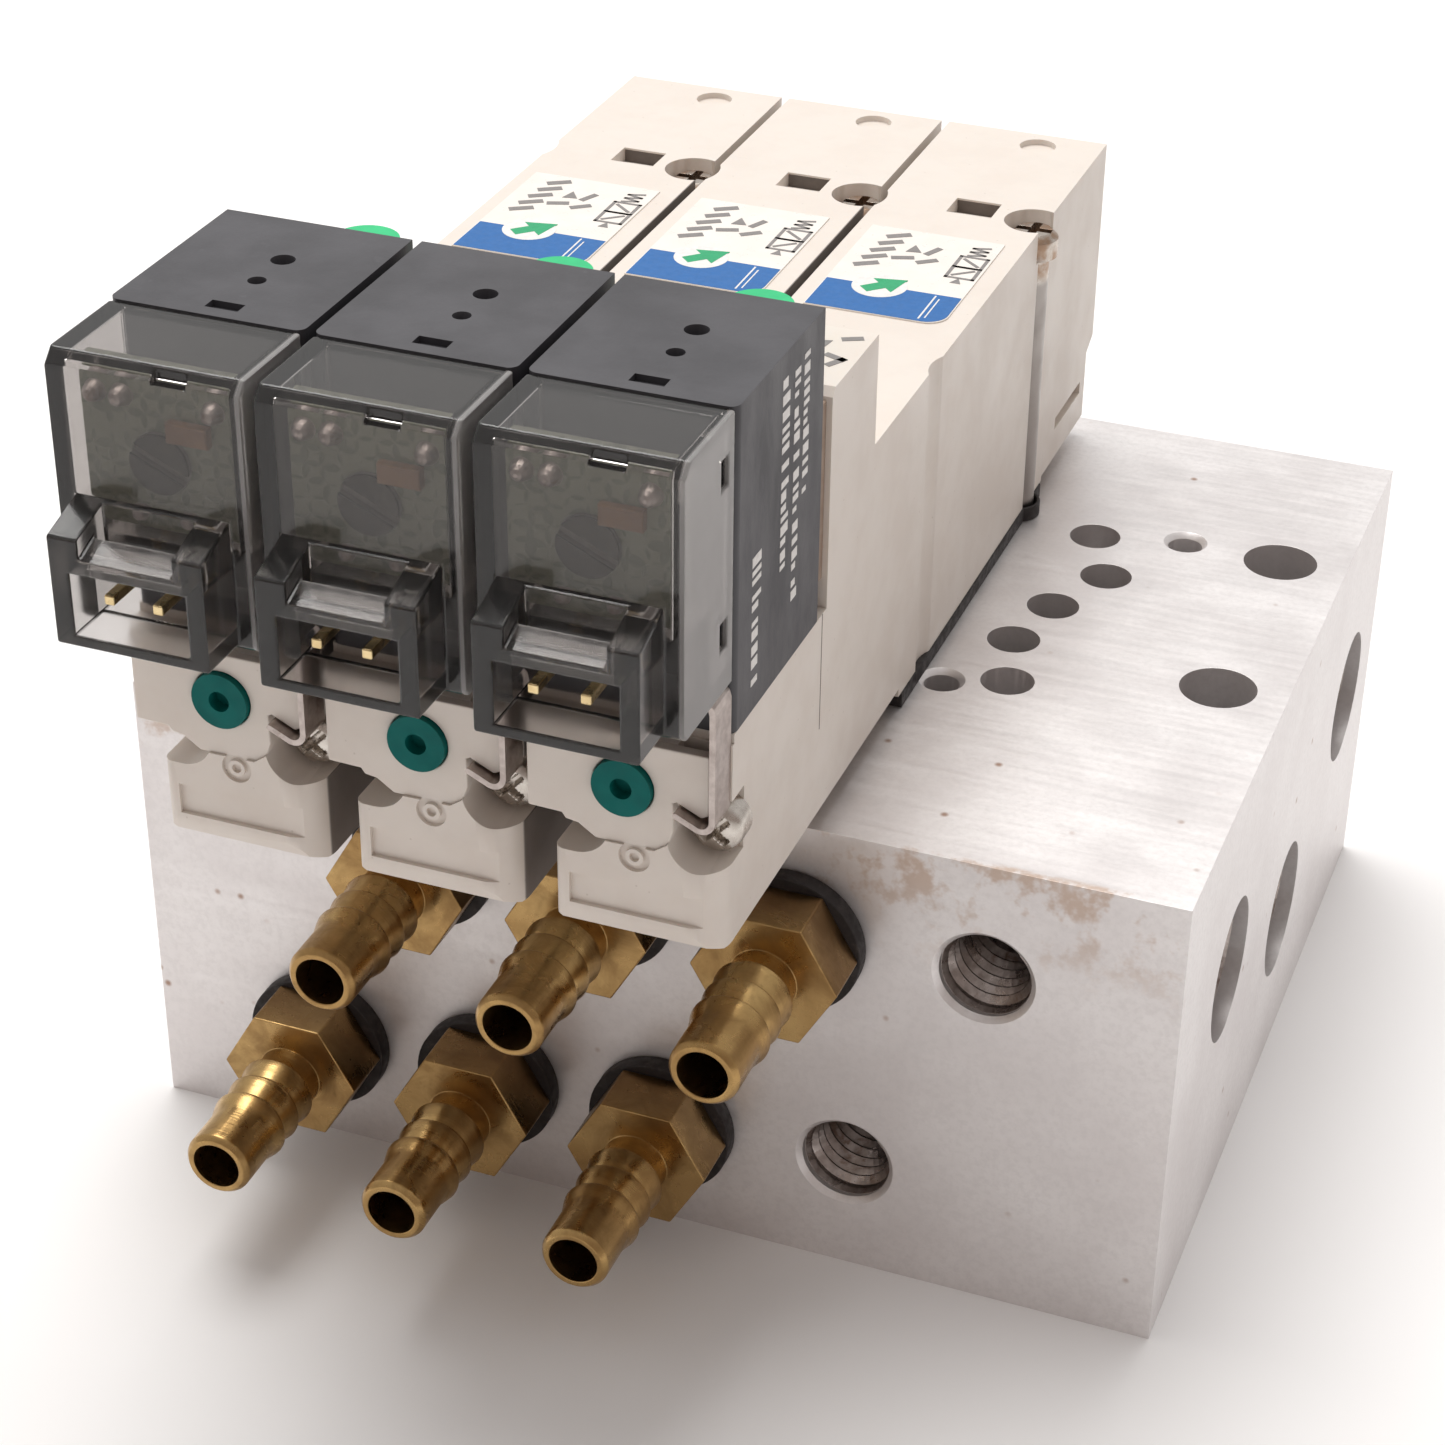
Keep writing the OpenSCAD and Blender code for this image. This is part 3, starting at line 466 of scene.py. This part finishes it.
def loft(mesh, rings):
    """Joins rings of equal length with quads and caps both ends."""
    made = [[mesh.verts.new(p) for p in ring] for ring in rings]
    for a, b in zip(made, made[1:]):
        for k in range(len(a)):
            n = (k + 1) % len(a)
            mesh.faces.new((a[k], a[n], b[n], b[k]))
    mesh.faces.new(made[0][::-1])
    mesh.faces.new(made[-1])


def thread(name, mouth, inward, major, depth, pitch, length):
    """Ridges of an internal thread in the block, from the mouth inward; major is the bore's radius."""
    mesh = bmesh.new()
    steps = 40
    turns = length / pitch
    start = Vector(mouth)
    axis = Vector(inward)
    side = axis.orthogonal().normalized()
    other = axis.cross(side)
    # the ridge is rooted a little behind the wall, and its foot stands a little out of it
    root, foot, low_ridge = major + 0.04, major - 0.02, 0.02
    rings = []
    for s in range(int(steps * turns) + 1):
        angle = 2 * math.pi * s / steps
        out = side * math.cos(angle) + other * math.sin(angle)
        turn = s / steps
        run_in = min(1, turn, turns - turn) if 0 < turn < turns else low_ridge
        crest = foot - (depth - low_ridge) * run_in
        profile = [(root, 0), (foot, 0), (crest, 0.42), (crest, 0.54), (foot, 1), (root, 1)]
        rings.append([start + out * r + axis * (turn * pitch + share * pitch) for r, share in profile])
    loft(mesh, rings)
    piece(name, mesh, BORED, "manifold")


def print_mark(name, outlines, place, thickness, material, across=(1, 0, 0), up=(0, 1, 0)):
    """Flat printed shapes: each outline is extruded off the surface at place."""
    mesh = bmesh.new()
    across, up = Vector(across), Vector(up)
    normal = across.cross(up)
    for outline in outlines:
        base = [mesh.verts.new(Vector(place) + across * x + up * y) for x, y in outline]
        face = mesh.faces.new(base)
        grown = bmesh.ops.extrude_face_region(mesh, geom=[face])["geom"]
        lifted = [v for v in grown if isinstance(v, bmesh.types.BMVert)]
        bmesh.ops.translate(mesh, verts=lifted, vec=normal * thickness)
    piece(name, mesh, material, "manifold")


def side_mark(name, outlines, x, thickness, material):
    """Printed shapes on a wall that faces right; their outlines are given in Y and Z."""
    print_mark(name, outlines, (x - SINK, 0, 0), thickness, material, (0, 1, 0), (0, 0, 1))


def arc(x, y, radius, start, end, points=10):
    """Points on an arc, with angles in degrees."""
    angles = [math.radians(start + (end - start) * k / (points - 1)) for k in range(points)]
    return [(x + radius * math.cos(a), y + radius * math.sin(a)) for a in angles]


def line(a, b, width):
    """A straight stroke as a four-sided outline."""
    along = (Vector(b) - Vector(a)).normalized() * (width / 2)
    side = Vector((-along.y, along.x))
    a, b = Vector(a) - along, Vector(b) + along
    return [tuple(a - side), tuple(b - side), tuple(b + side), tuple(a + side)]


def stroke(points, width):
    return [line(a, b, width) for a, b in zip(points, points[1:])]


def box_outline(x0, y0, x1, y1):
    return [(x0, y0), (x1, y0), (x1, y1), (x0, y1)]


def arrow_head(tip, heading, size):
    """A triangle that points along heading, in degrees."""
    a = math.radians(heading)
    along, side = Vector((math.cos(a), math.sin(a))), Vector((-math.sin(a), math.cos(a)))
    foot = Vector(tip) - along * size
    wing = side * size * 0.45
    return [tuple(tip), tuple(foot + wing), tuple(foot - wing)]


def label_print(station):
    """A blue band, a plain flow emblem and a schematic valve symbol on the body's label."""
    low, high = corners("body_labels")
    place = (centre_x(station), 0, high.z - SINK)
    left, right, front, rear, corner = -4.02, 3.74, low.y + 0.05, -0.5, 1.2
    bend = arc(right - corner, front + corner, corner, -90, 0)
    band = [(left, front), *bend, (right, rear), (left, rear)]
    print_mark(f"label_band_{station}", [band], place, FILM, INK["blue"])
    emblem_x, emblem_y, emblem_r = -0.95, -0.55, 1.55
    disc = arc(emblem_x, emblem_y, emblem_r, 0, 350, 36)
    print_mark(f"label_tile_{station}", [disc], place, FILM + 0.01, INK["white"])
    # one thick arrow, turned 45 degrees
    tail, neck, tip, shaft, wing = -1.0, 0.15, 1.75, 0.42, 1.05
    arrow = [(tail, -shaft), (neck, -shaft), (neck, -wing), (tip, 0),
             (neck, wing), (neck, shaft), (tail, shaft)]
    turn = math.sqrt(0.5)
    flow = [(emblem_x + turn * (x - y), emblem_y + turn * (x + y)) for x, y in arrow]
    print_mark(f"label_flow_{station}", [flow], place, FILM + 0.02, INK["green"])
    ticks = [line((2.35, front + 0.3), (2.35, rear - 0.25), 0.1),
             line((2.65, front + 0.5), (2.65, rear - 0.6), 0.08)]
    print_mark(f"label_ticks_{station}", ticks, place, FILM + 0.01, INK["white"])
    print_mark(f"label_symbol_{station}", valve_symbol() + label_marks(), place, FILM, INK["grey"])


def valve_symbol():
    """A schematic symbol: two squares with flow arrows, a spring and a pilot triangle."""
    x0, x1, y0, cell, pen, inset = 2.0, 3.55, 2.1, 1.5, 0.2, (0.3, 0.35)
    middle, top = (x0 + x1) / 2, y0 + 2 * cell
    symbol = []
    for k in (0, 1):
        square = box_outline(x0, y0 + k * cell, x1, y0 + (k + 1) * cell)
        symbol += stroke([*square, square[0]], pen)
    symbol += [line((x0 + inset[0], y0 + inset[1]), (x1 - inset[0], y0 + cell - inset[1]), pen),
               line((x0 + inset[0], top - inset[1]), (x1 - inset[0], y0 + cell + inset[1]), pen)]
    swing, step = 0.42, 0.27
    zigzag = [(middle + (swing if k % 2 else -swing), top + 0.2 + step * k) for k in range(6)]
    symbol += stroke(zigzag, pen)
    return symbol + [arrow_head((middle, y0 - 0.05), 90, 0.7)]


def label_marks():
    """A column of slanted dashes, and a small flow mark beside it."""
    drift, rise = 0.12, 1.1
    marks = [line((-3.05 + drift * k, 1.9 + rise * k), (-2.25 + drift * k, 2.4 + rise * k), 0.5)
             for k in range(5)]
    marks += [arrow_head((-0.85, 5.6), 100, 1.0), line((-1.4, 3.5), (-0.6, 3.8), 0.45)]
    return marks + [line((0.1, 3.4), (0.75, 3.9), 0.45), line((0.15, 4.7), (0.5, 5.5), 0.4)]


def ridge_print(station):
    """A turning arrow and two position marks beside the turning override."""
    low, high = corners(f"turn_override_{station}")
    ridge_top = corners(f"pilot_adapter_{station}")[1].z
    centre = ((low.x + high.x) / 2, (low.y + high.y) / 2, ridge_top - SINK)
    radius = 3.0
    curve = arc(0, 0, radius, 28, 74, 9)
    marks = stroke(curve, 0.34) + [arrow_head(arc(0, 0, radius, 10, 28, 2)[0], -75, 1.2)]
    marks += stroke([(3.5, 0.2), (4.3, -0.1), (3.9, -0.8)], 0.4)
    marks += [line((3.7, 2.2), (4.3, 2.5), 0.42)]
    print_mark(f"ridge_marks_{station}", marks, centre, FILM, INK["grey"])


def coil_print(station):
    """Plain white bars in four columns on the coil case's right side, in place of its printed rating."""
    wall_x = corners(f"coil_case_{station}")[1].x
    rng = random.Random(7)
    # each column: middle y, lowest and highest z, width
    columns = [(-35.8, 42.4, 49.8, 1.15), (-32.25, 46.6, 56.4, 0.95),
               (-30.75, 44.2, 56.6, 0.75), (-29.5, 49.3, 56.6, 0.75)]
    shortest_rest = 0.3
    outlines = []
    for middle, start, end, width in columns:
        z = start
        while z < end - shortest_rest:
            tall = rng.choice((0.26, 0.34, 0.5))
            share = rng.choice((0.7, 1, 1))
            y0 = middle - width / 2
            outlines.append(box_outline(y0, z, y0 + width * share, min(z + tall, end)))
            z += tall + rng.choice((0.2, 0.22, 0.3, 0.55))
    side_mark(f"coil_marks_{station}", outlines, wall_x, FILM, INK["white"])


def adapter_seam(station):
    """The dark line between the adapter's front part and its ridge, on the right side."""
    wall_x = corners(f"pilot_adapter_{station}")[1].x
    seam_y, width, bottom, top = -26.36, 0.1, 34.4, 41.0
    seam = box_outline(seam_y, bottom, seam_y + width, top)
    side_mark(f"adapter_seam_{station}", [seam], wall_x, 0.014, INK["seam"])


def slot_shade(station):
    """A strip of painted shade on the rear wall of the slot in the body's top."""
    top = corners(f"valve_body_{station}")[1].z
    slot_rear = 13.4
    left, right, lowest, highest = -0.82, 1.82, -0.88, -0.12
    wall = box_outline(left, lowest, right, highest)
    place = (centre_x(station), slot_rear + SINK, top)
    # painted shade on the slot's rear wall
    print_mark(f"slot_shade_{station}", [wall], place, FILM, INK["soil_and_shade"], (1, 0, 0), (0, 0, 1))


def dome(mesh, centre, radius, height):
    """A round bead with a skirt that faces the front, such as a solder joint."""
    # each section: share of the radius, share of the height
    sections = [(1.25, -0.05), (1.1, 0.02), (1.0, 0.25), (0.85, 0.6), (0.55, 0.88), (0.2, 1.0)]
    sides = 20
    axis = Vector((0, -1, 0))
    side = axis.orthogonal().normalized()
    other = axis.cross(side)
    rings = []
    for share, rise in sections:
        ring = []
        for k in range(sides):
            a = 2 * math.pi * k / sides
            out = (side * math.cos(a) + other * math.sin(a)) * radius * share
            ring.append(Vector(centre) + out + axis * (rise * height))
        rings.append(ring)
    loft(mesh, rings)


def chip(mesh, low, high):
    """A small block with chamfered front edges."""
    edge = 0.06
    x0, y0, z0 = low
    x1, y1, z1 = high
    rings = []
    for y, inset in ((y1, 0), (y0 + edge, 0), (y0, edge)):
        rings.append([(x0 + inset, y, z0 + inset), (x1 - inset, y, z0 + inset),
                      (x1 - inset, y, z1 - inset), (x0 + inset, y, z1 - inset)])
    loft(mesh, rings)


def board_parts(station):
    """Solder joints and a chip on the circuit board."""
    cx = centre_x(station)
    y = corners(f"circuit_board_{station}")[0].y
    solder = bmesh.new()
    # the large joints near the board's top, then one on each pin
    for x, z in ((-3.1, 55.4), (-1.75, 55.4), (2.9, 55.3)):
        dome(solder, (cx + x, y, z), radius=0.5, height=0.75)
    pin_half_pitch, pin_joint_z = 1.25, 49.6
    for x in (-pin_half_pitch, pin_half_pitch):
        dome(solder, (cx + x, y, pin_joint_z), radius=0.36, height=0.4)
    piece(f"solder_joints_{station}", solder, SOLDER, "manifold")
    parts = bmesh.new()
    chip(parts, (cx + 0.6, y - 0.5, 53.6), (cx + 2.7, y + 0.02, 54.6))
    piece(f"board_chips_{station}", parts, TAN_CHIP, "manifold")


def cross_depth(x, y):
    """Depth of the cross recess at a point of a screw head, with sloping walls."""
    arm, half_width, depth, wall = 0.9, 0.22, 0.55, 0.12
    inside = max(min(half_width - abs(x), arm - abs(y)), min(half_width - abs(y), arm - abs(x)))
    return depth * min(1, max(0, inside / wall))


def front_screws():
    """Domed cross-recess screws in place of the CAD screws at the adapters' front."""
    node = "front_screws"
    low, high = corners(node)
    head_r, head_t, rim, shank_r, beside = 1.35, 1.7, 0.6, 0.72, 4.1
    axis_z = (low.z + high.z) / 2 - 0.05
    seat_y = low.y + 1.4
    dome_y = seat_y - head_t + rim
    profile = [(shank_r, high.y), (shank_r, seat_y), (head_r, seat_y), (head_r, dome_y)]
    sectors, dome_rings = 72, 26
    angles = [2 * math.pi * k / sectors for k in range(sectors)]
    mesh = bmesh.new()
    for station in STATIONS:
        x = centre_x(station) + beside
        rings = [[Vector((x + r * math.cos(a), y, axis_z + r * math.sin(a))) for a in angles]
                 for r, y in profile]
        for step in range(1, dome_rings):
            r = head_r * (1 - step / dome_rings)
            rise = rim * math.sqrt(1 - (r / head_r) ** 2)
            ring = []
            for a in angles:
                # the cross is turned by 45 degrees
                sunk = cross_depth(r * math.cos(a + math.pi / 4), r * math.sin(a + math.pi / 4))
                ring.append(Vector((x + r * math.cos(a), dome_y - rise + sunk, axis_z + r * math.sin(a))))
            rings.append(ring)
        loft(mesh, rings)
    made = piece("front_screw_set", mesh, MATERIALS["screw_steel"], "manifold")
    shade_smooth(made)
    edges = made.modifiers.new("edges", "EDGE_SPLIT")
    edges.split_angle = math.radians(50)
    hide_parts(node)


def coil_spring(node, turns, wire):
    """A coil in place of a CAD spring; wire is its radius."""
    low, high = corners(node)
    axis_x, axis_z = (low.x + high.x) / 2, (low.z + high.z) / 2
    mean = (high.x - low.x) / 2 - wire
    per_turn, sides, flat_turns = 28, 10, 0.8
    y0, y1 = low.y + wire, high.y - wire
    angles = [2 * math.pi * k / sides for k in range(sides)]
    rings = []
    for s in range(per_turn * turns + 1):
        turn = s / per_turn
        # the end turns lie flat
        lift = min(1, max(0, (turn - flat_turns) / (turns - 2 * flat_turns)))
        a = 2 * math.pi * turn
        out = Vector((math.cos(a), 0, math.sin(a)))
        middle = Vector((axis_x, y0 + (y1 - y0) * lift, axis_z)) + out * mean
        rings.append([middle + out * wire * math.cos(b) + Vector((0, wire * math.sin(b), 0)) for b in angles])
    mesh = bmesh.new()
    loft(mesh, rings)
    made = piece(f"{node}_coil", mesh, MATERIALS["spring_steel"], "manifold")
    shade_smooth(made)
    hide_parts(node)
    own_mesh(made)


def threads():
    """Thread ridges in the empty station's two front ports and in the end ports."""
    block_low, block_high = corners("manifold_block")
    empty_x = centre_x(3) + STATION_PITCH
    # each front port: how far it is beside the station's middle, and its height
    for name, x, z in (("upper", 3.6, 21.1), ("lower", -3.55, 6.9)):
        mouth = (empty_x + x, block_low.y + 0.25, z)
        thread(f"{name}_port_thread_4", mouth, (0, 1, 0), major=2.5, depth=0.36, pitch=0.8, length=6.4)
    for side, end_x, inward in (("left", block_low.x, 1), ("right", block_high.x, -1)):
        for port, y, z in (("front_exhaust", -13.1, 16), ("supply", 2.4, 10), ("rear_exhaust", 17.9, 16)):
            mouth = (end_x + inward * 0.3, y, z)
            thread(f"{side}_{port}_thread", mouth, (inward, 0, 0),
                   major=4.1, depth=0.5, pitch=0.907, length=7.2)


for station in STATIONS:
    label_print(station)
    ridge_print(station)
    coil_print(station)
    adapter_seam(station)
    slot_shade(station)
    board_parts(station)
    coil_spring(f"spool_spring_{station}",
                turns=6, wire=0.25)
    coil_spring(f"armature_spring_{station}",
                turns=5, wire=0.13)
front_screws()
threads()


# ---------- camera, floor and light ----------

def add_camera(scene):
    camera_data = bpy.data.cameras.new("camera")
    camera = bpy.data.objects.new("camera", camera_data)
    scene.collection.objects.link(camera)
    scene.camera = camera
    camera_data.sensor_width = 36
    camera_data.lens = 79.94
    camera_data.clip_start = 0.01
    camera_data.clip_end = 10
    place = Vector((53.97, -155.73, 118.22))
    looks_at = Vector((-3.3, -4.1, 19.1))
    roll = math.radians(0.6)
    camera.location = place * MM
    turn = (looks_at - place).to_track_quat("-Z", "Y")
    camera.rotation_euler = (turn.to_matrix() @ Matrix.Rotation(roll, 3, "Z")).to_euler()


def add_floor(scene):
    half = 1.5
    data = bpy.data.meshes.new("floor")
    square = [(-half, -half), (half, -half), (half, half), (-half, half)]
    data.from_pydata([(x, y, 0) for x, y in square], [], [(0, 1, 2, 3)])
    floor = bpy.data.objects.new("floor", data)
    scene.collection.objects.link(floor)
    p = Paint("floor", IOR=1.4)
    clouds = p.range(p.noise(60, 2), 0.3, 0.7)
    p.set("Base_Color", p.mix(clouds, (0.93, 0.925, 0.925), (0.91, 0.905, 0.905)))
    p.set("Roughness", 0.6)
    data.materials.append(p.material)


def add_world(scene):
    """The surroundings: bright above and behind, dim and warm in front and below."""
    world = bpy.data.worlds.new("world")
    scene.world = world
    world.use_nodes = True
    nodes, links = world.node_tree.nodes, world.node_tree.links
    background = nodes["Background"]
    direction = nodes.new("ShaderNodeTexCoord").outputs["Generated"]
    dot = nodes.new("ShaderNodeVectorMath")
    dot.operation = "DOT_PRODUCT"
    dot.inputs[1].default_value = (-0.35, 0.7, 0.62)
    links.new(direction, dot.inputs[0])
    spread = nodes.new("ShaderNodeMapRange")
    spread.interpolation_type = "SMOOTHSTEP"
    spread.inputs["From Min"].default_value = -0.7
    spread.inputs["From Max"].default_value = 0.9
    links.new(dot.outputs["Value"], spread.inputs["Value"])
    blend = nodes.new("ShaderNodeMix")
    blend.data_type = "RGBA"
    blend.inputs[6].default_value = (0.50, 0.42, 0.385, 1)
    blend.inputs[7].default_value = (0.98, 0.965, 0.955, 1)
    links.new(spread.outputs[0], blend.inputs[0])
    links.new(blend.outputs[2], background.inputs["Color"])
    background.inputs["Strength"].default_value = 0.72


def add_key(scene):
    """One wide round light, high above and a little behind."""
    data = bpy.data.lights.new("key", "AREA")
    data.shape = "DISK"
    data.size = 460 * MM
    data.energy = 2.9
    data.color = (1, 0.985, 0.965)
    place, target = Vector((-110, 130, 570)), Vector((0, 0, 20))
    light = bpy.data.objects.new("key", data)
    light.location = place * MM
    light.rotation_euler = (target - place).to_track_quat("-Z", "Y").to_euler()
    scene.collection.objects.link(light)


def studio():
    scene = bpy.context.scene
    add_camera(scene)
    add_floor(scene)
    add_world(scene)
    add_key(scene)
    scene.view_settings.view_transform = "Standard"


studio()
